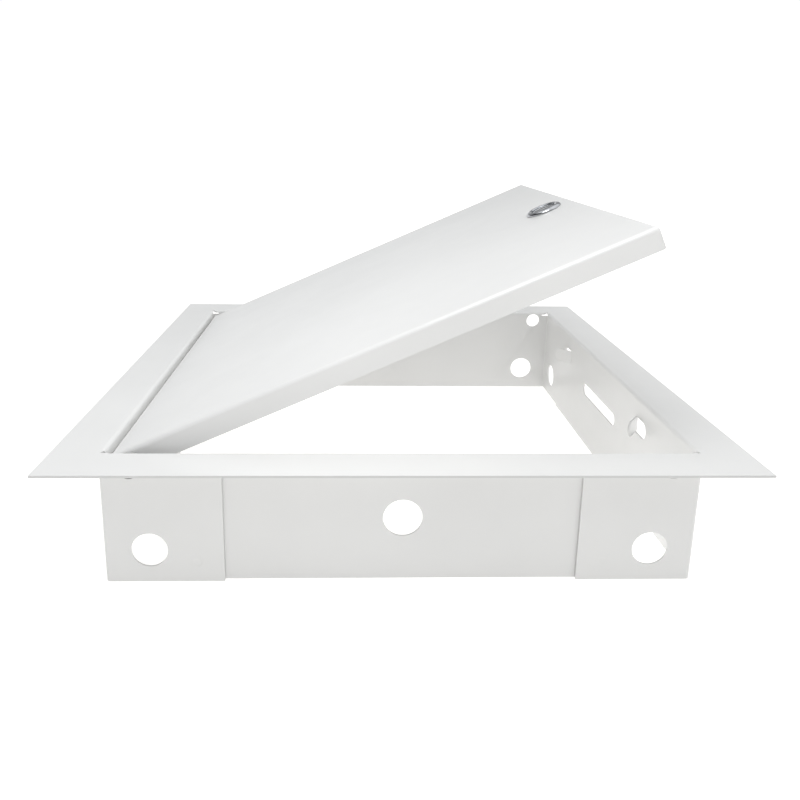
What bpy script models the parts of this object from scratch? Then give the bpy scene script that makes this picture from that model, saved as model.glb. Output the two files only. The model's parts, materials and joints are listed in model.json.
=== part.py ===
"""Flush access hatch: a square flanged sheet-steel frame with a hinged pan door and a cam latch.

Row frame: the origin is the middle of the frame at the level of its lower edge, +Z is up through
the flange, -X is the hinge side and +X the latch side.  The door stands open by REST_ANGLE.
Lengths are in metres, angles in radians.
"""
import math

import bmesh
import bpy
from mathutils import Matrix, Vector

MM = 0.001
GAP = 0.3 * MM                      # play left between pieces that touch on the real hatch

# Frame
OPENING = 304.8 * MM                # clear opening, both ways
SHEET = 1.2 * MM
FLANGE = 25.4 * MM                  # beyond the outside of the flaps
HEIGHT = 72.0 * MM                  # flange top above the brackets' lower edge
BEND = 2.0 * MM                     # outside radius of the sheet's folds
FLAP_END_TOP = 3.0 * MM             # the flaps' slanted ends, set back from the corner
FLAP_END_LOW = 50.0 * MM
FLAP_LOW = 0.5 * MM                 # flaps stop short of the brackets' lower edge
RELIEF_R = 1.3 * MM
WALL_IN = OPENING / 2
WALL_OUT = WALL_IN + SHEET
FLANGE_OUT = WALL_OUT + FLANGE

# Corner brackets; they stop short of the flange, which seats on the surface round the hatch
LEG = 62.0 * MM
BRACKET_IN = WALL_OUT + GAP
BRACKET_OUT = BRACKET_IN + SHEET
BRACKET_TOP = HEIGHT - SHEET - 2.2 * MM

# Holes
MID_HOLE_R = 10.4 * MM
MID_HOLE_Z = HEIGHT - 36.4 * MM
CORNER_HOLE_R = 9.5 * MM
CORNER_HOLE_X = WALL_IN - 20.8 * MM
CORNER_HOLE_Z = HEIGHT - 53.7 * MM
HINGE_HOLE_R = 6.0 * MM

# Latch-side flap
SLOT_LENGTH = 70.0 * MM
SLOT_HEIGHT = 9.0 * MM
SLOT_Z = HEIGHT - 30.7 * MM
TAB_FOLD_Y = 70.0 * MM
TAB_LENGTH = 17.0 * MM
TAB_TOP = HEIGHT - 12.6 * MM
TAB_HEIGHT = 10.0 * MM
TAB_Z = TAB_TOP - TAB_HEIGHT / 2
TAB_ANGLE = math.radians(38)

# Door
REST_ANGLE = math.radians(24)
DOOR_GAP = 2.7 * MM
DOOR_HALF = WALL_IN - DOOR_GAP
DOOR_DEPTH = 12.0 * MM
DOOR_BEND = 2.5 * MM
PIVOT_X = -140.0 * MM
PIVOT_DROP = 7.5 * MM               # hinge axis below the door's face
PIVOT_Z = HEIGHT - PIVOT_DROP

# Hinge pieces; y is measured out from the hatch's middle along the hinge axis
PIN_R = 3.0 * MM
PIN_HOLE_R = PIN_R + GAP
PIN_HEAD_R = 4.8 * MM
PIN_HEAD = 1.6 * MM
PIN_INNER = 131.5 * MM
GROOVE_R = 2.2 * MM
BUSH_COLLAR_R = 7.0 * MM
BUSH_COLLAR = 1.4 * MM
LUG_SHEET = 1.5 * MM
LUG_WIDTH = 13.0 * MM
LUG_FOOT = 9.5 * MM
LUG_Y = 136.5 * MM                  # inner face of the lug that holds the pin
LUG_DROP = 13.5 * MM
CLIP_R = 5.0 * MM
CLIP_SHEET = 0.7 * MM

# Latch; heights are measured from the door's outer face
LATCH_INSET = 20.0 * MM             # from the door's free edge
BEZEL_R = 12.0 * MM
BEZEL_TOP = 2.2 * MM
BODY_R = 9.4 * MM
BODY_FLAT = 8.4 * MM
BODY_LOW = -24.7 * MM
SKIRT_LOW = -26.7 * MM
SEAT_R = 8.1 * MM
SEAT_Z = -1.5 * MM
BORE_R = 6.3 * MM
PLUG_HEAD_R = 7.8 * MM
PLUG_TOP = 1.7 * MM
PLUG_R = 6.0 * MM
SHANK = 7.0 * MM                    # square end that turns the cam
SHANK_LOW = -29.2 * MM
DRIVE_SLOT = (12.6 * MM, 1.8 * MM, 1.5 * MM)
NUT_FLATS = 24.0 * MM
NUT_SHEET = 4.0 * MM
STAR_R = 12.4 * MM
STAR_SHEET = 0.8 * MM
STAR_TEETH = 14
STOP_SHEET = 1.5 * MM
STOP_R = 7.2 * MM
STOP_LUG_R = 9.2 * MM
STOP_LUG_HALF = math.radians(14)
QUARTER = math.radians(90)
CAM_TOP = -27.0 * MM
CAM_SHEET = 2.5 * MM
CAM_WIDTH = 15.0 * MM
CAM_REACH = 32.0 * MM
SCREW_R = 2.0 * MM
SCREW_HEAD_FLATS = 7.0 * MM
SCREW_HEAD = 2.8 * MM
SCREW_REACH = 7.0 * MM
SPRING_R = 3.8 * MM
SPRING_SHEET = 1.0 * MM


SIDES = {"front": -1, "back": 1}
# Stands a flat piece up: its outline's x runs along Y, its y up, and its thickness along X
STAND_ALONG_Y = Matrix(((0, 0, 1, 0), (1, 0, 0, 0), (0, 1, 0, 0), (0, 0, 0, 1)))


def clear_scene():
    for obj in list(bpy.data.objects):
        bpy.data.objects.remove(obj, do_unlink=True)


def new_collection(name):
    collection = bpy.data.collections.new(name)
    bpy.context.scene.collection.children.link(collection)
    return collection


def new_material(name, color, roughness, metallic):
    material = bpy.data.materials.new(name)
    material.use_nodes = True
    shader = material.node_tree.nodes["Principled BSDF"]
    shader.inputs["Base Color"].default_value = (*color, 1.0)
    shader.inputs["Roughness"].default_value = roughness
    shader.inputs["Metallic"].default_value = metallic
    return material


def new_object(name, bm, material, parent=None, matrix=Matrix()):
    """A part from a bmesh; matrix places it in its parent's frame."""
    mesh = bpy.data.meshes.new(name)
    bm.to_mesh(mesh)
    bm.free()
    obj = bpy.data.objects.new(name, mesh)
    if material is None:
        CUTTERS.objects.link(obj)
        obj.hide_render = True
        obj.display_type = "WIRE"
    else:
        PARTS.objects.link(obj)
        mesh.materials.append(material)
    obj.parent = parent
    obj.matrix_local = matrix
    return obj


def new_empty(name, location, angle_y=0.0, parent=None):
    empty = bpy.data.objects.new(name, None)
    PARTS.objects.link(empty)
    empty.parent = parent
    empty.location = location
    empty.rotation_euler = (0.0, angle_y, 0.0)
    return empty


def solidify(obj, thickness):
    """Thickens an open sheet away from the side that its faces look to."""
    modifier = obj.modifiers.new("sheet", "SOLIDIFY")
    modifier.thickness = thickness
    modifier.offset = -1.0
    modifier.use_even_offset = True


def boolean(obj, tool, operation="DIFFERENCE"):
    modifier = obj.modifiers.new(operation.lower(), "BOOLEAN")
    modifier.operation = operation
    modifier.solver = "EXACT"
    modifier.object = tool


def add_box(bm, size, centre, turn=Matrix()):
    place = Matrix.Translation(centre) @ turn @ Matrix.Diagonal((*size, 1.0))
    bmesh.ops.create_cube(bm, size=1.0, matrix=place)


AXIS_TURN = {
    "X": Matrix.Rotation(math.pi / 2, 4, "Y"),
    "Y": Matrix.Rotation(math.pi / 2, 4, "X"),
    "Z": Matrix(),
}


def add_rod(bm, radius, length, centre, axis, segments=48):
    """A cylinder, or with few segments a prism, along one axis."""
    place = Matrix.Translation(centre) @ AXIS_TURN[axis]
    bmesh.ops.create_cone(
        bm, cap_ends=True, segments=segments, radius1=radius, radius2=radius,
        depth=length, matrix=place)


def turned(name, profile, closed, material, parent=None, matrix=Matrix(), steps=40):
    """A body turned about Z from (radius, height) points that run down its outer side."""
    bm = bmesh.new()
    verts = [bm.verts.new((radius, 0.0, height)) for radius, height in profile]
    for first, second in zip(verts, verts[1:]):
        bm.edges.new((first, second))
    if closed:
        bm.edges.new((verts[-1], verts[0]))
    obj = new_object(name, bm, material, parent, matrix)
    modifier = obj.modifiers.new("turn", "SCREW")
    modifier.axis = "Z"
    modifier.angle = 2 * math.pi
    modifier.steps = steps
    modifier.render_steps = steps
    modifier.use_merge_vertices = True
    modifier.merge_threshold = 0.00001
    modifier.use_smooth_shade = True
    return obj


def arc(radius, start, end, count, centre=(0.0, 0.0)):
    """Points on an arc, both ends included."""
    points = []
    for step in range(count + 1):
        angle = start + (end - start) * step / count
        points.append((centre[0] + radius * math.cos(angle), centre[1] + radius * math.sin(angle)))
    return points


def flat_piece(name, outlines, top, thickness, material, parent=None, matrix=Matrix()):
    """A flat plate cut to closed outlines, the first outside and the rest holes."""
    curve = bpy.data.curves.new(name, "CURVE")
    curve.dimensions = "2D"
    curve.fill_mode = "BOTH"
    curve.extrude = thickness / 2
    for outline in outlines:
        spline = curve.splines.new("POLY")
        spline.points.add(len(outline) - 1)
        for point, (x, y) in zip(spline.points, outline):
            point.co = (x, y, 0.0, 1.0)
        spline.use_cyclic_u = True
    guide = bpy.data.objects.new(name + "_outline", curve)
    bpy.context.scene.collection.objects.link(guide)
    bpy.context.view_layer.update()
    mesh = bpy.data.meshes.new_from_object(guide.evaluated_get(bpy.context.evaluated_depsgraph_get()))
    bpy.data.objects.remove(guide)
    bm = bmesh.new()
    bm.from_mesh(mesh)
    bpy.data.meshes.remove(mesh)
    bmesh.ops.remove_doubles(bm, verts=bm.verts, dist=0.000001)
    bmesh.ops.recalc_face_normals(bm, faces=bm.faces)
    bmesh.ops.translate(bm, verts=bm.verts, vec=(0.0, 0.0, top - thickness / 2))
    return new_object(name, bm, material, parent, matrix)


def folded_strip(name, path, width, bend, thickness, material, parent=None, matrix=Matrix()):
    """A sheet strip that follows path, is as wide as the vector width, and bends round at its folds."""
    bm = bmesh.new()
    verts = [bm.verts.new(point) for point in path]
    edges = [bm.edges.new(pair) for pair in zip(verts, verts[1:])]
    bmesh.ops.extrude_edge_only(bm, edges=edges)
    new_verts = [vert for vert in bm.verts if vert not in verts]
    bmesh.ops.translate(bm, verts=new_verts, vec=width)
    bm.edges.ensure_lookup_table()
    folds = [edge for edge in bm.edges if len(edge.link_faces) == 2]
    bmesh.ops.bevel(bm, geom=folds, offset=bend, segments=5, profile=0.5, affect="EDGES")
    obj = new_object(name, bm, material, parent, matrix)
    solidify(obj, thickness)
    return obj


def build_frame(material):
    """The flange and its four flaps, cut and folded from one sheet."""
    lines = [-FLANGE_OUT, -WALL_IN, -(WALL_IN - FLAP_END_TOP)]
    lines += [-value for value in reversed(lines)]
    last = len(lines) - 1
    bm = bmesh.new()
    bmesh.ops.create_grid(bm, x_segments=last, y_segments=last, size=0.5)
    for vert in bm.verts:
        column = round((vert.co.x + 0.5) * last)
        row = round((vert.co.y + 0.5) * last)
        vert.co = (lines[column], lines[row], HEIGHT)
    inside = [face for face in bm.faces
              if max(abs(face.calc_center_median().x), abs(face.calc_center_median().y)) < WALL_IN]
    bmesh.ops.delete(bm, geom=inside, context="FACES")
    folds = [edge for edge in bm.edges if edge.is_boundary and edge.calc_length() > WALL_IN
             and max(abs(value) for value in edge.verts[0].co.xy) < WALL_OUT]
    for fold in folds:
        low = [item for item in bmesh.ops.extrude_edge_only(bm, edges=[fold])["geom"]
               if isinstance(item, bmesh.types.BMVert)]
        along = 0 if abs(fold.verts[0].co.y - fold.verts[1].co.y) < MM else 1
        for vert in low:
            vert.co.z = FLAP_LOW
            vert.co[along] = math.copysign(WALL_IN - FLAP_END_LOW, vert.co[along])
    bmesh.ops.bevel(bm, geom=folds, offset=BEND, segments=5, profile=0.5, affect="EDGES")
    frame = new_object("frame_sheet", bm, material)
    solidify(frame, SHEET)
    boolean(frame, round_holes())
    slot = stadium_outline(SLOT_LENGTH, SLOT_HEIGHT)
    boolean(frame, latch_side_cutter("cutter_slot", slot, 0.0, SLOT_Z))
    for name, side in SIDES.items():
        window = tab_outline(TAB_LENGTH, TAB_HEIGHT + 2 * GAP, side)
        boolean(frame, latch_side_cutter("cutter_window_" + name, window, side * TAB_FOLD_Y, TAB_Z))
        boolean(frame, stop_tab("tool_tab_" + name, side), "UNION")
    return frame


def round_holes():
    """The round holes and the corner reliefs that are punched out of the sheet, as one cutter."""
    bm = bmesh.new()
    depth = 8 * MM
    for x in (-1, 1):
        for y in (-1, 1):
            add_rod(bm, RELIEF_R, depth, (x * WALL_IN, y * WALL_IN, HEIGHT), "Z", 24)
            add_rod(bm, HINGE_HOLE_R, depth, (x * PIVOT_X, y * WALL_IN, PIVOT_Z), "Y")
    add_rod(bm, MID_HOLE_R, depth, (0, -WALL_IN, MID_HOLE_Z), "Y")
    add_rod(bm, MID_HOLE_R, depth, (0, WALL_IN, MID_HOLE_Z), "Y")
    add_rod(bm, MID_HOLE_R, depth, (-WALL_IN, 0, MID_HOLE_Z), "X")
    return new_object("cutter_round_holes", bm, None)


def latch_side_cutter(name, outline, y, z):
    """Cuts an outline of (y, z) points through the latch-side flap."""
    depth = 8 * MM
    place = Matrix.Translation((WALL_IN, y, z)) @ STAND_ALONG_Y
    return flat_piece(name, [outline], depth / 2, depth, None, None, place)


def stadium_outline(length, height):
    """A long hole with round ends."""
    shift = (length - height) / 2
    outline = arc(height / 2, -math.pi / 2, math.pi / 2, 12, (shift, 0.0))
    return outline + arc(height / 2, math.pi / 2, 3 * math.pi / 2, 12, (-shift, 0.0))


def tab_outline(length, height, side):
    """A D: square at the fold, where y is nought, and round at its free end on the given side."""
    outline = [(0.0, -height / 2)]
    outline += arc(height / 2, -math.pi / 2, math.pi / 2, 12, (length - height / 2, 0.0))
    outline += [(0.0, height / 2)]
    return [(side * y, z) for y, z in outline]


def stop_tab(name, side):
    """A lanced tab, bent in from the latch-side flap; the closed door rests on its top edge."""
    root = 1.0 * MM
    outline = tab_outline(TAB_LENGTH, TAB_HEIGHT, side)
    place = Matrix.Translation((WALL_IN + SHEET / 2, side * TAB_FOLD_Y, TAB_Z))
    turn = Matrix.Rotation(side * TAB_ANGLE, 4, "Z") @ STAND_ALONG_Y
    shift = Matrix.Translation((-side * root, 0, 0))
    return flat_piece(name, [outline], SHEET / 2, SHEET, None, None, place @ turn @ shift)


def build_corner_bracket(name, x, y, material):
    """An L of sheet outside one corner: a fixing hole in each leg, a notch for the hinge bush."""
    corner = Vector((x * BRACKET_OUT, y * BRACKET_OUT, 0))
    path = [corner - Vector((x * LEG, 0, 0)), corner, corner - Vector((0, y * LEG, 0))]
    if x * y < 0:
        path.reverse()
    bracket = folded_strip(name, path, (0, 0, BRACKET_TOP), BEND, SHEET, material)
    bm = bmesh.new()
    depth = 8 * MM
    add_rod(bm, CORNER_HOLE_R, depth, (x * CORNER_HOLE_X, y * BRACKET_IN, CORNER_HOLE_Z), "Y")
    add_rod(bm, CORNER_HOLE_R, depth, (x * BRACKET_IN, y * CORNER_HOLE_X, CORNER_HOLE_Z), "X")
    add_rod(bm, HINGE_HOLE_R, depth, (x * abs(PIVOT_X), y * BRACKET_IN, PIVOT_Z), "Y")
    boolean(bracket, new_object("cutter_" + name, bm, None))


def along_hinge(side):
    """Turns a piece made along +Z so that +Z points out of the hatch's front or back."""
    return Matrix.Rotation(-side * math.pi / 2, 4, "X")


def build_bush(name, side, material):
    """A collared plastic bush in the hinge hole; heights are distances from the hatch's middle."""
    outer = HINGE_HOLE_R - GAP
    collar = WALL_IN - GAP
    profile = [(PIN_HOLE_R, BRACKET_OUT), (outer - 0.4 * MM, BRACKET_OUT), (outer, BRACKET_OUT - 0.4 * MM),
               (outer, collar), (BUSH_COLLAR_R, collar), (BUSH_COLLAR_R, collar - BUSH_COLLAR),
               (PIN_HOLE_R, collar - BUSH_COLLAR)]
    place = Matrix.Translation((PIVOT_X, 0, PIVOT_Z)) @ along_hinge(side)
    turned(name, profile, True, material, None, place)


def build_pin(name, side, material, hinge):
    """A headed pin, pushed in from outside; the groove takes its clip."""
    head_low = BRACKET_OUT + GAP
    head_top = head_low + PIN_HEAD
    groove_top = LUG_Y - GAP
    groove_low = groove_top - CLIP_SHEET - 0.4 * MM
    profile = [(0.0, head_top), (2.6 * MM, head_top - 0.1 * MM), (4.0 * MM, head_top - 0.5 * MM),
               (PIN_HEAD_R, head_top - 1.0 * MM), (PIN_HEAD_R, head_low), (PIN_R, head_low),
               (PIN_R, groove_top), (GROOVE_R, groove_top), (GROOVE_R, groove_low), (PIN_R, groove_low),
               (PIN_R, PIN_INNER + 0.6 * MM), (PIN_R - 0.6 * MM, PIN_INNER), (0.0, PIN_INNER)]
    turned(name, profile, False, material, hinge, along_hinge(side))


def build_clip(name, side, material, hinge):
    """A retaining clip: a ring with a mouth, round the pin's groove."""
    mouth = math.radians(35)
    inner = GROOVE_R + GAP
    outline = arc(CLIP_R, mouth, 2 * math.pi - mouth, 28) + arc(inner, 2 * math.pi - mouth, mouth, 20)
    top = LUG_Y - GAP - 0.2 * MM
    flat_piece(name, [outline], top, CLIP_SHEET, material, hinge, along_hinge(side))


def build_lug(name, side, material, hinge):
    """A bent bracket under the door's face; its leg hangs down and carries the pin's inner end."""
    face = PIVOT_DROP - SHEET - GAP
    outer_y = LUG_Y + LUG_FOOT
    if side > 0:
        path = [(0, outer_y, face), (0, LUG_Y, face), (0, LUG_Y, face - LUG_DROP)]
        width = (-LUG_WIDTH, 0, 0)
    else:
        path = [(0, -outer_y, face), (0, -LUG_Y, face), (0, -LUG_Y, face - LUG_DROP)]
        width = (LUG_WIDTH, 0, 0)
    shift = LUG_WIDTH / 2 if side > 0 else -LUG_WIDTH / 2
    path = [(x + shift, y, z) for x, y, z in path]
    lug = folded_strip(name, path, width, BEND, LUG_SHEET, material, hinge)
    bm = bmesh.new()
    add_rod(bm, PIN_HOLE_R, 10 * MM, (0, side * LUG_Y, 0), "Y", 40)
    boolean(lug, new_object("cutter_" + name, bm, None, hinge))


def build_door(material, hinge):
    """The pan: an open box of sheet with round bends, made about the hinge axis in its closed place."""
    bm = bmesh.new()
    size = (2 * DOOR_HALF, 2 * DOOR_HALF, DOOR_DEPTH)
    add_box(bm, size, (-PIVOT_X, 0, PIVOT_DROP - DOOR_DEPTH / 2))
    low = [face for face in bm.faces if face.normal.z < -0.5]
    bmesh.ops.delete(bm, geom=low, context="FACES_ONLY")
    folds = [edge for edge in bm.edges if len(edge.link_faces) == 2]
    bmesh.ops.bevel(bm, geom=folds, offset=DOOR_BEND, segments=5, profile=0.5, affect="EDGES")
    door = new_object("door_pan", bm, material, hinge)
    solidify(door, SHEET)
    cutter = bmesh.new()
    add_rod(cutter, BODY_R + GAP, 8 * MM, (LATCH_X, 0, PIVOT_DROP), "Z")
    for side in (-1, 1):
        add_rod(cutter, PIN_HOLE_R, 8 * MM, (0, side * DOOR_HALF, 0), "Y", 40)
    boolean(door, new_object("cutter_door", cutter, None, hinge))


def build_housing(material, door):
    """The latch's bezel, body and stop skirt, turned in one and flattened on two sides."""
    under = GAP
    profile = [(SEAT_R + 0.5 * MM, BEZEL_TOP), (BEZEL_R - 1.6 * MM, BEZEL_TOP),
               (BEZEL_R - 0.6 * MM, BEZEL_TOP - 0.4 * MM), (BEZEL_R, BEZEL_TOP - 1.1 * MM),
               (BEZEL_R, under), (BODY_R, under), (BODY_R, SKIRT_LOW), (BODY_R - 1.5 * MM, SKIRT_LOW),
               (BODY_R - 1.5 * MM, BODY_LOW), (BORE_R, BODY_LOW), (BORE_R, SEAT_Z), (SEAT_R, SEAT_Z),
               (SEAT_R, BEZEL_TOP - 0.5 * MM)]
    housing = turned("latch_housing", profile, True, material, door, steps=48)
    bm = bmesh.new()
    flat_height = 30 * MM
    for side in (-1, 1):
        centre = (0, side * (BODY_FLAT + 5 * MM), -SHEET - flat_height / 2)
        add_box(bm, (30 * MM, 10 * MM, flat_height), centre)
    boolean(housing, new_object("cutter_flats", bm, None, door))
    spare = math.radians(3)
    start = -QUARTER - STOP_LUG_HALF - spare
    end = STOP_LUG_HALF + spare
    pie = [(0.0, 0.0)] + arc(14 * MM, start, end, 12)
    boolean(housing, flat_piece("cutter_skirt", [pie], BODY_LOW - 0.01 * MM, 4 * MM, None, door))


def build_latch_fixings(metal, door):
    """The toothed washer and the hexagon nut that clamp the housing to the door."""
    star_top = -SHEET - GAP
    inner = []
    for step in range(2 * STAR_TEETH):
        radius = BODY_R + (GAP if step % 2 else 1.2 * MM)
        for part in (-0.3, 0.3):
            angle = 2 * math.pi * (step + part) / (2 * STAR_TEETH)
            inner.append((radius * math.cos(angle), radius * math.sin(angle)))
    outer = arc(STAR_R, 0, 2 * math.pi * 47 / 48, 47)
    flat_piece("latch_lock_washer", [outer, inner], star_top, STAR_SHEET, metal, door)
    nut_top = star_top - STAR_SHEET - GAP
    bm = bmesh.new()
    corner = NUT_FLATS / math.sqrt(3)
    add_rod(bm, corner, NUT_SHEET, (0, 0, nut_top - NUT_SHEET / 2), "Z", 6)
    nut = new_object("latch_nut", bm, metal, door)
    bm = bmesh.new()
    add_rod(bm, BODY_R + GAP, 3 * NUT_SHEET, (0, 0, nut_top), "Z")
    boolean(nut, new_object("cutter_nut", bm, None, door))


def build_plug(metal, latch):
    """The slotted plug that a screwdriver turns, with a square end for the cam."""
    head_low = SEAT_Z + GAP
    profile = [(0.0, PLUG_TOP), (PLUG_HEAD_R - 0.8 * MM, PLUG_TOP), (PLUG_HEAD_R, PLUG_TOP - 0.6 * MM),
               (PLUG_HEAD_R, head_low), (PLUG_R, head_low), (PLUG_R, BODY_LOW), (0.0, BODY_LOW)]
    plug = turned("latch_plug", profile, False, metal, latch)
    bm = bmesh.new()
    root = 1.0 * MM
    shank = BODY_LOW + root - SHANK_LOW
    add_box(bm, (SHANK, SHANK, shank), (0, 0, SHANK_LOW + shank / 2))
    boolean(plug, new_object("tool_shank", bm, None, latch), "UNION")
    bm = bmesh.new()
    length, width, depth = DRIVE_SLOT
    add_box(bm, (length, width, 2 * depth), (0, 0, PLUG_TOP))
    add_rod(bm, SCREW_R + GAP, 2 * SCREW_REACH, (0, 0, SHANK_LOW), "Z", 24)
    boolean(plug, new_object("cutter_plug", bm, None, latch))


def square(half):
    return [(-half, -half), (half, -half), (half, half), (-half, half)]


def build_cam(metal, latch):
    """The stop washer, the cam, its spring washer and its screw, stacked on the plug's square end."""
    hole = square(SHANK / 2 + GAP)
    stop = arc(STOP_LUG_R, -STOP_LUG_HALF, STOP_LUG_HALF, 4)
    stop += arc(STOP_R, STOP_LUG_HALF, 2 * math.pi - STOP_LUG_HALF, 36)
    flat_piece("cam_stop_washer", [stop, hole], BODY_LOW - GAP, STOP_SHEET, metal, latch)
    half = CAM_WIDTH / 2
    strap = arc(half, math.pi, 2 * math.pi, 16)
    strap += arc(half, 0, math.pi, 16, (0.0, CAM_REACH - half))
    flat_piece("cam_arm", [strap, hole], CAM_TOP, CAM_SHEET, metal, latch)
    spring_top = CAM_TOP - CAM_SHEET - GAP
    slit = math.radians(9)
    ring = arc(SPRING_R, slit, 2 * math.pi - slit, 24)
    ring += arc(SCREW_R + GAP, 2 * math.pi - slit * 1.6, slit * 1.6, 20)
    flat_piece("cam_spring_washer", [ring], spring_top, SPRING_SHEET, metal, latch)
    head_top = spring_top - SPRING_SHEET - GAP
    bm = bmesh.new()
    add_rod(bm, SCREW_HEAD_FLATS / math.sqrt(3), SCREW_HEAD, (0, 0, head_top - SCREW_HEAD / 2), "Z", 6)
    screw = new_object("cam_screw", bm, metal, latch)
    bm = bmesh.new()
    low = head_top - SCREW_HEAD / 2
    top = SHANK_LOW + SCREW_REACH - 2 * GAP
    add_rod(bm, SCREW_R, top - low, (0, 0, (top + low) / 2), "Z", 24)
    boolean(screw, new_object("tool_screw_shaft", bm, None, latch), "UNION")


def build_hatch():
    white = new_material("white_powder_coat", (0.86, 0.86, 0.85), 0.38, 0.0)
    zinc = new_material("zinc_plate", (0.62, 0.63, 0.65), 0.32, 1.0)
    chrome = new_material("bright_chrome", (0.70, 0.71, 0.73), 0.18, 1.0)
    nylon = new_material("grey_nylon", (0.42, 0.42, 0.41), 0.5, 0.0)
    build_frame(white)
    for y_name, y in SIDES.items():
        for x_name, x in {"left": -1, "right": 1}.items():
            build_corner_bracket("corner_bracket_" + y_name + "_" + x_name, x, y, white)
    hinge = new_empty("door_hinge_axis", (PIVOT_X, 0, PIVOT_Z), -REST_ANGLE)
    build_door(white, hinge)
    for y_name, y in SIDES.items():
        build_bush("hinge_bush_" + y_name, y, nylon)
        build_pin("hinge_pin_" + y_name, y, zinc, hinge)
        build_clip("pin_clip_" + y_name, y, zinc, hinge)
        build_lug("hinge_bracket_" + y_name, y, white, hinge)
    latch = new_empty("latch_axis", (LATCH_X, 0, PIVOT_DROP), 0.0, hinge)
    build_housing(chrome, latch)
    build_latch_fixings(zinc, latch)
    build_plug(chrome, latch)
    build_cam(zinc, latch)


LATCH_X = DOOR_HALF - LATCH_INSET - PIVOT_X
clear_scene()
PARTS = new_collection("access_hatch")
CUTTERS = new_collection("cutters")
build_hatch()
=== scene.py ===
"""Looks of the flush access hatch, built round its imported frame."""
import json
import math

import bmesh
import bpy
from mathutils import Matrix, Vector


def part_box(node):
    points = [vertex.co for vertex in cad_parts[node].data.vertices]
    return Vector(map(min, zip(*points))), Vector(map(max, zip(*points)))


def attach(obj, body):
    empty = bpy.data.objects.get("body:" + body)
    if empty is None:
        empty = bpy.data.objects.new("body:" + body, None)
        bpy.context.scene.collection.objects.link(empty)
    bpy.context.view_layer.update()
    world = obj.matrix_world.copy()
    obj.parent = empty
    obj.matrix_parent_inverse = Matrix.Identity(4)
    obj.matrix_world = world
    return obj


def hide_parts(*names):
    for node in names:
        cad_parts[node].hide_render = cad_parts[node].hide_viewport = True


MM = 0.001
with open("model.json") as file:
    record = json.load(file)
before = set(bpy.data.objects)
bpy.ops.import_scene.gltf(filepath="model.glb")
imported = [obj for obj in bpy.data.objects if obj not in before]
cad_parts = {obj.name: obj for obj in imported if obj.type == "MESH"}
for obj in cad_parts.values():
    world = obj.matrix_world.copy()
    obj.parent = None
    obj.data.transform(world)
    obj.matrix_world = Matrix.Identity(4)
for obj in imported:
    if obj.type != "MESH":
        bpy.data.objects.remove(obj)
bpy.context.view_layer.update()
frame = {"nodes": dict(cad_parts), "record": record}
nodes = frame["nodes"]

flange_low, flange_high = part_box("frame_sheet")
FLANGE_TOP = flange_high.z
HALF_FLANGE = flange_high.x


# Node helpers

def new_material(name):
    material = bpy.data.materials.new(name)
    material.use_nodes = True
    tree = material.node_tree
    shader = tree.nodes["Principled BSDF"]
    return material, tree, shader


def add_node(tree, kind, **values):
    node = tree.nodes.new(kind)
    for key, value in values.items():
        if key in node.inputs:
            node.inputs[key].default_value = value
        else:
            setattr(node, key, value)
    return node


def object_noise(tree, scale, detail=2.0, roughness=0.5, stretch=(1, 1, 1)):
    """Noise in the row's own coordinates; scale is in cycles a metre."""
    coords = add_node(tree, "ShaderNodeTexCoord")
    mapping = add_node(tree, "ShaderNodeMapping")
    mapping.inputs["Scale"].default_value = stretch
    tree.links.new(coords.outputs["Object"], mapping.inputs["Vector"])
    noise = add_node(tree, "ShaderNodeTexNoise", Scale=scale, Detail=detail, Roughness=roughness)
    tree.links.new(mapping.outputs["Vector"], noise.inputs["Vector"])
    return noise.outputs["Fac"]


def ramp(tree, factor, stops):
    """A colour ramp through (position, colour) stops; a number stands for a grey."""
    node = add_node(tree, "ShaderNodeValToRGB")
    while len(node.color_ramp.elements) < len(stops):
        node.color_ramp.elements.new(0.5)
    for element, (position, color) in zip(node.color_ramp.elements, stops):
        element.position = position
        element.color = (*color, 1) if isinstance(color, tuple) else (color, color, color, 1)
    tree.links.new(factor, node.inputs["Fac"])
    return node.outputs["Color"]


def add_bump(tree, height, distance, strength=1.0, below=None):
    bump = add_node(tree, "ShaderNodeBump", Distance=distance, Strength=strength)
    tree.links.new(height, bump.inputs["Height"])
    if below is not None:
        tree.links.new(below, bump.inputs["Normal"])
    return bump.outputs["Normal"]


def folded_place(tree):
    """The row's own coordinates without their signs, so that one rule serves all four sides."""
    coords = add_node(tree, "ShaderNodeTexCoord")
    fold = add_node(tree, "ShaderNodeVectorMath", operation="ABSOLUTE")
    tree.links.new(coords.outputs["Object"], fold.inputs[0])
    split = add_node(tree, "ShaderNodeSeparateXYZ")
    tree.links.new(fold.outputs["Vector"], split.inputs["Vector"])
    return split


def pick(tree, operation, split):
    """The smaller or larger of the folded X and Y."""
    node = add_node(tree, "ShaderNodeMath", operation=operation)
    tree.links.new(split.outputs["X"], node.inputs[0])
    tree.links.new(split.outputs["Y"], node.inputs[1])
    return node.outputs["Value"]


def smooth_step(tree, value, low, high):
    node = add_node(tree, "ShaderNodeMapRange", interpolation_type="SMOOTHSTEP")
    node.inputs["From Min"].default_value = low
    node.inputs["From Max"].default_value = high
    tree.links.new(value, node.inputs["Value"])
    return node.outputs["Result"]


WELD_ALONG = 107 * MM               # from the middle of the hatch to a bracket's spot weld
WELD_UP = 11 * MM
WELD_INNER = 1.6 * MM
WELD_OUTER = 2.9 * MM
# Painted shade: the darker tone and the band limits along the flange's outer edge, standing in for the shade
# that falls there.
EDGE_SHADE_TONE = (0.60, 0.60, 0.595)
EDGE_SHADE_INNER = HALF_FLANGE - 0.30 * MM
EDGE_SHADE_OUTER = HALF_FLANGE - 0.05 * MM


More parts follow.
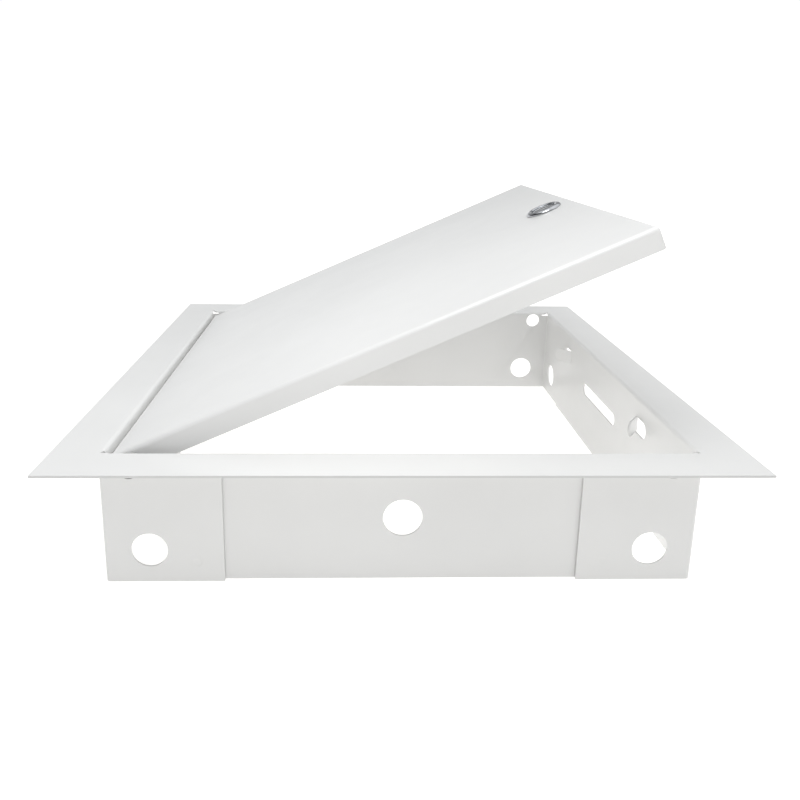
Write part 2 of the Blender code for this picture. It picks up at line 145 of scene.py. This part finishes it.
def weld_marks(tree):
    """Shallow spot-weld dimples, the same on every leg: 0 in a dimple, 1 elsewhere."""
    split = folded_place(tree)
    place = add_node(tree, "ShaderNodeCombineXYZ")
    tree.links.new(pick(tree, "MINIMUM", split), place.inputs["X"])
    tree.links.new(split.outputs["Z"], place.inputs["Y"])
    distance = add_node(tree, "ShaderNodeVectorMath", operation="DISTANCE")
    distance.inputs[1].default_value = (WELD_ALONG, WELD_UP, 0)
    tree.links.new(place.outputs["Vector"], distance.inputs[0])
    return smooth_step(tree, distance.outputs["Value"], WELD_INNER, WELD_OUTER)


def painted_edge_shade(tree, tone):
    """Paints a darker band of shade along the flange's outer sheet edge."""
    outward = pick(tree, "MAXIMUM", folded_place(tree))
    mix = add_node(tree, "ShaderNodeMix", data_type="RGBA")
    tree.links.new(smooth_step(tree, outward, EDGE_SHADE_INNER, EDGE_SHADE_OUTER), mix.inputs["Factor"])
    colors = [socket for socket in mix.inputs if socket.type == "RGBA"]
    tree.links.new(tone, colors[0])
    colors[1].default_value = (*EDGE_SHADE_TONE, 1)
    return next(socket for socket in mix.outputs if socket.type == "RGBA")


def powder_coat(name, light, dark):
    """White powder coat: fine orange peel on a faintly uneven sheet, semi-matt under a thin gloss."""
    material, tree, shader = new_material(name)
    tone = ramp(tree, object_noise(tree, 9, 3), [(0.35, light), (0.65, dark)])
    # The flange's outer edge gets a band of painted shade over the coat's tone.
    tree.links.new(painted_edge_shade(tree, tone), shader.inputs["Base Color"])
    gloss = ramp(tree, object_noise(tree, 60, 4), [(0.3, 0.36), (0.7, 0.46)])
    tree.links.new(gloss, shader.inputs["Roughness"])
    waves = add_bump(tree, object_noise(tree, 14, 1), 0.8 * MM, 0.35)
    welds = add_bump(tree, weld_marks(tree), 0.15 * MM, 0.8, waves)
    peel = add_bump(tree, object_noise(tree, 620, 2, 0.55), 0.035 * MM, 0.55, welds)
    tree.links.new(peel, shader.inputs["Normal"])
    shader.inputs["Coat Weight"].default_value = 0.40
    shader.inputs["Coat Roughness"].default_value = 0.18
    return material


def plated_metal(name, light, dark, smooth, rough, grain):
    """Plated metal: uneven tone and gloss, with fine drawn scratches."""
    material, tree, shader = new_material(name)
    tone = ramp(tree, object_noise(tree, 180, 4), [(0.3, light), (0.7, dark)])
    tree.links.new(tone, shader.inputs["Base Color"])
    gloss = ramp(tree, object_noise(tree, 420, 4), [(0.3, smooth), (0.7, rough)])
    tree.links.new(gloss, shader.inputs["Roughness"])
    scratch = object_noise(tree, 900, 3, 0.6, grain)
    tree.links.new(add_bump(tree, scratch, 0.02 * MM, 0.5), shader.inputs["Normal"])
    shader.inputs["Metallic"].default_value = 1.0
    return material


def moulded_nylon(name, light, dark):
    material, tree, shader = new_material(name)
    tone = ramp(tree, object_noise(tree, 240, 3), [(0.3, light), (0.7, dark)])
    tree.links.new(tone, shader.inputs["Base Color"])
    gloss = ramp(tree, object_noise(tree, 500, 2), [(0.3, 0.45), (0.7, 0.6)])
    tree.links.new(gloss, shader.inputs["Roughness"])
    peel = add_bump(tree, object_noise(tree, 1500, 2), 0.03 * MM, 0.6)
    tree.links.new(peel, shader.inputs["Normal"])
    shader.inputs["Subsurface Weight"].default_value = 0.05
    return material


paint = powder_coat("white_powder_coat", (0.765, 0.765, 0.76), (0.735, 0.735, 0.73))
zinc = plated_metal("zinc_plate", (0.68, 0.69, 0.70), (0.55, 0.56, 0.585), 0.24, 0.40, (1, 1, 0.12))
chrome = plated_metal("latch_nickel", (0.52, 0.53, 0.55), (0.42, 0.43, 0.45), 0.10, 0.20, (0.1, 1, 1))
nylon = moulded_nylon("bush_nylon", (0.42, 0.42, 0.41), (0.36, 0.36, 0.355))
SLOT_LOOKS = {"white_paint": paint, "zinc_plate": zinc, "latch_chrome": chrome, "bush_nylon": nylon}


def dress_cad_nodes():
    for part in frame["record"]["subparts"]:
        node = nodes[part["node"]]
        node.data.materials.clear()
        node.data.materials.append(SLOT_LOOKS[part["material_slot"]])


def soften(node, width):
    """Rounds a sheet part's edges without touching its mesh."""
    obj = nodes[node]
    weld = obj.modifiers.new("weld", "WELD")
    weld.merge_threshold = 0.002 * MM
    flat = obj.modifiers.new("flat", "DECIMATE")
    flat.decimate_type = "DISSOLVE"
    flat.angle_limit = math.radians(0.5)
    bevel = obj.modifiers.new("edge", "BEVEL")
    bevel.width = width
    bevel.segments = 2
    bevel.limit_method = "ANGLE"
    bevel.angle_limit = math.radians(40)
    bevel.use_clamp_overlap = True
    bevel.harden_normals = True


# Detailed pieces.  Profiles are (radius, height) points in mm round a piece's own axis.

def square_edge(half):
    return lambda x, y: half / max(abs(math.cos(math.atan2(y, x))), abs(math.sin(math.atan2(y, x))))


def hexagon_edge(half):
    sector = math.pi / 3
    return lambda x, y: half / math.cos((math.atan2(y, x) + sector / 2) % sector - sector / 2)


def two_flats(half):
    return lambda x, y: half / max(abs(math.sin(math.atan2(y, x))), 0.01)


def lathe(name, profile, place, steps=96, closed=False, arc=(0.0, 2 * math.pi)):
    """A body turned about its axis; a third item in a point is the outline that limits its radius."""
    bm = bmesh.new()
    whole = arc[1] - arc[0] > 2 * math.pi - 0.001
    count = steps if whole else steps + 1
    rings = []
    for radius, height, *limit in profile:
        if radius == 0:
            rings.append([bm.verts.new(place @ Vector((0, 0, height * MM)))] * count)
            continue
        ring = []
        for step in range(count):
            angle = arc[0] + (arc[1] - arc[0]) * step / steps
            x, y = math.cos(angle), math.sin(angle)
            reach = min(radius, limit[0](x, y)) if limit else radius
            ring.append(bm.verts.new(place @ (Vector((x * reach, y * reach, height)) * MM)))
        rings.append(ring)
    pairs = list(zip(rings, rings[1:]))
    if closed:
        pairs.append((rings[-1], rings[0]))
    for upper, lower in pairs:
        for step in range(count if whole else count - 1):
            after = (step + 1) % count
            corners = [upper[step], lower[step], lower[after], upper[after]]
            unique = [vert for number, vert in enumerate(corners) if vert not in corners[:number]]
            if len(unique) > 2:
                bm.faces.new(unique)
    if not whole:
        bm.faces.new([ring[0] for ring in rings])
        bm.faces.new([ring[-1] for ring in rings])
    bmesh.ops.recalc_face_normals(bm, faces=bm.faces)
    return new_piece(name, bm)


def new_piece(name, bm):
    mesh = bpy.data.meshes.new(name)
    bm.to_mesh(mesh)
    bm.free()
    obj = bpy.data.objects.new(name, mesh)
    bpy.context.scene.collection.objects.link(obj)
    smooth_sides(mesh)
    return obj


def smooth_sides(mesh):
    mesh.polygons.foreach_set("use_smooth", [True] * len(mesh.polygons))
    mesh.set_sharp_from_angle(angle=math.radians(32))


def carve(obj, tool, bevel=0.0):
    """Cuts one body out of a piece for good, and can round the edges that this leaves."""
    cut = obj.modifiers.new("cut", "BOOLEAN")
    cut.object = tool
    cut.solver = "EXACT"
    if bevel:
        edge = obj.modifiers.new("edge", "BEVEL")
        edge.width = bevel
        edge.segments = 2
        edge.limit_method = "ANGLE"
        edge.angle_limit = math.radians(50)
    bpy.context.view_layer.update()
    done = bpy.data.meshes.new_from_object(obj.evaluated_get(bpy.context.evaluated_depsgraph_get()))
    obj.modifiers.clear()
    obj.data = done
    smooth_sides(done)
    bpy.data.objects.remove(tool, do_unlink=True)


def box_tool(size, centre, place):
    bm = bmesh.new()
    spread = Matrix.Diagonal((*(value * MM for value in size), 1))
    bmesh.ops.create_cube(bm, size=1.0, matrix=place @ Matrix.Translation(Vector(centre) * MM) @ spread)
    return new_piece("tool", bm)


def finish_piece(obj, body, node, material):
    obj.data.materials.clear()
    obj.data.materials.append(material)
    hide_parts(node)
    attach(obj, body)


def thread(radius, depth, high, low, pitch, limit=None):
    """Sharp ridges down a shaft, as profile points."""
    points = []
    for number in range(int((high - low) / pitch)):
        for share, inset in ((0.0, depth), (0.40, 0.0), (0.55, 0.0), (0.95, depth)):
            point = (radius - inset, high - (number + share) * pitch)
            points.append(point if limit is None else (*point, limit))
    return points


def joint_place(name):
    """The place of a joint's axis at rest, with +Z against the axis and Y along the hinge."""
    joint = next(item for item in frame["record"]["behaviour"]["joints"] if item["name"] == name)
    up = -Vector(joint["axis"]).normalized()
    side = Vector((0, 1, 0))
    turn = Matrix((side.cross(up), side, up)).transposed().to_4x4()
    return Matrix.Translation(joint["pos_m"]) @ turn


SKIRT_ARC = (math.radians(17), math.radians(253))       # what is left of the body's end, round the stop


def build_latch(place):
    """The latch's turned pieces, and the skirt that stops the plug after a quarter turn."""
    flats = two_flats(8.4)
    bezel = [(8.6, 1.95), (8.9, 2.15), (9.6, 2.2), (10.3, 2.1), (10.9, 1.86), (11.4, 1.5), (11.8, 1.0),
             (12.0, 0.5), (12.0, 0.32), (9.4, 0.3), (9.4, -1.3), (9.4, -1.5, flats)]
    bezel += thread(9.4, 0.5, -2.0, -23.6, 1.2, flats)
    bezel += [(9.0, -24.3, flats), (8.6, -24.7, flats), (6.5, -24.7), (6.3, -24.5), (6.3, -1.5), (8.1, -1.5),
              (8.1, 1.6)]
    body = lathe("latch_body", bezel, place, 120, True)
    finish_piece(body, "door", "latch_housing", chrome)
    stop = [(9.4, -24.72, flats), (9.4, -26.5, flats), (9.2, -26.7, flats), (8.1, -26.7, flats),
            (7.9, -26.5), (7.9, -24.72)]
    skirt = lathe("latch_stop_skirt", stop, place, 64, True, SKIRT_ARC)
    skirt.data.materials.append(chrome)
    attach(skirt, "door")

    hexagon = hexagon_edge(12.0)
    nut = [(11.4, -2.6, hexagon), (12.4, -2.85, hexagon), (13.9, -3.5, hexagon), (13.9, -5.7, hexagon),
           (12.4, -6.35, hexagon), (11.4, -6.6, hexagon), (10.3, -6.6), (9.75, -6.1), (9.75, -3.1),
           (10.3, -2.6)]
    finish_piece(lathe("hexagon_nut", nut, place, 120, True), "door", "latch_nut", zinc)

    square = square_edge(3.5)
    plug = [(0, 1.7), (3.0, 1.68), (5.4, 1.6), (6.6, 1.44), (7.3, 1.15), (7.7, 0.7), (7.8, 0.2),
            (7.8, -1.05), (7.65, -1.2), (6.0, -1.2), (6.0, -24.4), (5.7, -24.7), (4.95, -24.7, square),
            (4.95, -28.9, square), (4.4, -29.2, square), (2.5, -29.2), (2.3, -29.0), (2.3, -22.2),
            (0, -22.2)]
    head = lathe("slotted_plug", plug, place, 96)
    carve(head, box_tool((12.6, 1.8, 3.0), (0, 0, 1.7), place), 0.12 * MM)
    finish_piece(head, "latch", "latch_plug", chrome)

    bolt = hexagon_edge(3.5)
    screw = [(0, -22.8), (1.5, -22.8), (1.9, -23.2)] + thread(2.0, 0.25, -23.3, -30.6, 0.7)
    screw += [(1.75, -31.1), (3.3, -31.1), (3.4, -31.25), (4.05, -31.4, bolt), (4.05, -33.2, bolt),
              (3.6, -33.6, bolt), (3.1, -33.85), (2.4, -33.9), (1.9, -33.6), (0, -33.5)]
    finish_piece(lathe("hexagon_screw", screw, place, 60), "latch", "cam_screw", zinc)


def build_hinge_pieces():
    """Pins and bushes, turned about the hinge; heights are distances from the hatch's middle."""
    pin = [(0, 157.0), (1.5, 156.97), (2.8, 156.84), (3.8, 156.56), (4.4, 156.2), (4.75, 155.8),
           (4.8, 155.55), (4.65, 155.4), (3.0, 155.4), (3.0, 136.3), (2.9, 136.2), (2.2, 136.2),
           (2.2, 135.1), (2.9, 135.1), (3.0, 135.0), (3.0, 132.3), (2.7, 131.8), (2.2, 131.5),
           (0, 131.5)]
    bush = [(3.6, 155.1), (5.4, 155.1), (5.7, 154.7), (5.7, 152.2), (5.85, 152.1), (6.7, 152.1),
            (7.0, 151.8), (7.0, 151.1), (6.6, 150.7), (3.6, 150.7), (3.3, 151.0), (3.3, 154.8)]
    hinge = joint_place("door_hinge").translation
    for side, sign in (("front", -1), ("back", 1)):
        place = Matrix.Translation(hinge) @ Matrix.Rotation(-sign * math.pi / 2, 4, "X")
        turned_pin = lathe("headed_pin_" + side, pin, place, 64)
        finish_piece(turned_pin, "door", "hinge_pin_" + side, zinc)
        turned_bush = lathe("collared_bush_" + side, bush, place, 72, True)
        finish_piece(turned_bush, "frame", "hinge_bush_" + side, nylon)


# Camera and studio

CAMERA_AT = Vector((-27.69, -501.70, 158.85)) * MM + Vector((0, 0, FLANGE_TOP))
CAMERA_PITCH = math.radians(-13.5)
CAMERA_YAW = math.radians(1.85)
CAMERA_ROLL = math.radians(0.82)


def make_camera():
    camera = bpy.data.cameras.new("camera")
    camera.lens = 33.165
    camera.sensor_width = 36.0
    camera.shift_x = 0.0321
    camera.shift_y = -0.1127
    camera.clip_start = 0.01
    obj = bpy.data.objects.new("camera", camera)
    bpy.context.scene.collection.objects.link(obj)
    turn = Matrix.Rotation(-CAMERA_YAW, 4, "Z")
    turn @= Matrix.Rotation(math.pi / 2 + CAMERA_PITCH, 4, "X")
    turn @= Matrix.Rotation(CAMERA_ROLL, 4, "Z")
    obj.matrix_world = Matrix.Translation(CAMERA_AT) @ turn
    bpy.context.scene.camera = obj


def add_area(name, location, target, size, power):
    light = bpy.data.lights.new(name, "AREA")
    light.shape = "DISK"
    light.size = size
    light.energy = power
    obj = bpy.data.objects.new(name, light)
    bpy.context.scene.collection.objects.link(obj)
    obj.visible_camera = False
    obj.location = location
    aim = Vector(target) - Vector(location)
    obj.rotation_euler = aim.to_track_quat("-Z", "Y").to_euler()


LIGHT = {"floor": 0.77, "low_back": 1.0, "low_side": 0.20, "low_front": 0.20, "mid_back": 0.40,
         "mid_left": 0.08, "mid_right": 1.15, "mid_front": 0.54, "top": 1.25, "close": 0.40, "inner": 0.016}


FLOOR_RADIUS = 6.0
FLOOR_Z = -0.0002


def make_sky(tree):
    """A softly varied dome: a white end behind the hatch, and dimmer sides, front and top."""
    coords = add_node(tree, "ShaderNodeTexCoord")
    split = add_node(tree, "ShaderNodeSeparateXYZ")
    tree.links.new(coords.outputs["Generated"], split.inputs["Vector"])

    def fade(axis, low, high):
        return smooth_step(tree, split.outputs[axis], low, high)

    def blend(factor, first, second):
        node = add_node(tree, "ShaderNodeMix", data_type="FLOAT")
        tree.links.new(factor, node.inputs["Factor"])
        for value, socket in ((first, node.inputs["A"]), (second, node.inputs["B"])):
            if isinstance(value, float):
                socket.default_value = value
            else:
                tree.links.new(value, socket)
        return node.outputs["Result"]

    low = blend(fade("Y", -0.5, 0.0), LIGHT["low_front"], LIGHT["low_side"])
    low = blend(fade("Y", 0.55, 0.75), low, LIGHT["low_back"])
    middle = blend(fade("X", -0.3, 0.3), LIGHT["mid_left"], LIGHT["mid_right"])
    middle = blend(fade("Y", -0.8, -0.5), LIGHT["mid_front"], middle)
    middle = blend(fade("Y", 0.4, 0.7), middle, LIGHT["mid_back"])
    sky = blend(fade("Z", 0.16, 0.30), low, middle)
    return blend(fade("Z", 0.6, 0.8), sky, LIGHT["top"])


def make_backdrop():
    """A plain white tent behind the floor on every side; it neither lights nor shades the hatch."""
    bpy.ops.mesh.primitive_cone_add(vertices=96, radius1=FLOOR_RADIUS, radius2=0, depth=FLOOR_RADIUS,
                                    end_fill_type="NOTHING", location=(0, 0, FLOOR_RADIUS / 2 + FLOOR_Z))
    backdrop = bpy.context.object
    backdrop.name = "backdrop"
    backdrop.visible_diffuse = False
    backdrop.visible_glossy = False
    backdrop.visible_transmission = False
    backdrop.visible_shadow = False
    material, tree, shader = new_material("backdrop")
    tone = ramp(tree, object_noise(tree, 0.4, 1), [(0.3, 0.995), (0.7, 1.0)])
    tree.links.new(tone, shader.inputs["Emission Color"])
    shader.inputs["Emission Strength"].default_value = 1.02
    shader.inputs["Base Color"].default_value = (0, 0, 0, 1)
    shader.inputs["Specular IOR Level"].default_value = 0.0
    backdrop.data.materials.append(material)


def make_studio():
    world = bpy.data.worlds.new("studio")
    world.use_nodes = True
    bpy.context.scene.world = world
    tree = world.node_tree
    tree.links.new(make_sky(tree), tree.nodes["Background"].inputs["Strength"])
    tree.nodes["Background"].inputs["Color"].default_value = (0.985, 0.995, 1.0, 1)
    add_area("close", (-0.03, -0.22, 0.50), (-0.03, -0.2, 0.05), 0.25, 2 * LIGHT["close"])
    add_area("inner", (0.055, -0.10, 0.03), (0.152, -0.135, 0.045), 0.04, LIGHT["inner"])

    bpy.ops.mesh.primitive_circle_add(vertices=96, radius=FLOOR_RADIUS, fill_type="NGON",
                                      location=(0, 0, FLOOR_Z))
    floor = bpy.context.object
    floor.name = "floor"
    material, tree, shader = new_material("floor")
    tone = ramp(tree, object_noise(tree, 3, 2), [(0.3, 0.50), (0.7, 0.52)])
    tree.links.new(tone, shader.inputs["Base Color"])
    shader.inputs["Roughness"].default_value = 0.8
    shader.inputs["Emission Color"].default_value = (1.0, 0.99, 0.965, 1)
    shader.inputs["Emission Strength"].default_value = LIGHT["floor"]
    floor.data.materials.append(material)
    make_backdrop()
    bpy.context.scene.view_settings.view_transform = "Standard"


EDGE_ROUNDING = {"frame_sheet": 0.25, "door_pan": 0.25, "corner_bracket": 0.25, "hinge_bracket": 0.25,
                 "cam_arm": 0.30, "cam_stop_washer": 0.30, "latch_lock_washer": 0.10,
                 "cam_spring_washer": 0.10, "pin_clip": 0.10}       # mm, by the start of a node's name

dress_cad_nodes()
for part in nodes:
    for start, width in EDGE_ROUNDING.items():
        if part.startswith(start):
            soften(part, width * MM)
build_latch(joint_place("latch_turn"))
build_hinge_pieces()
make_camera()
make_studio()
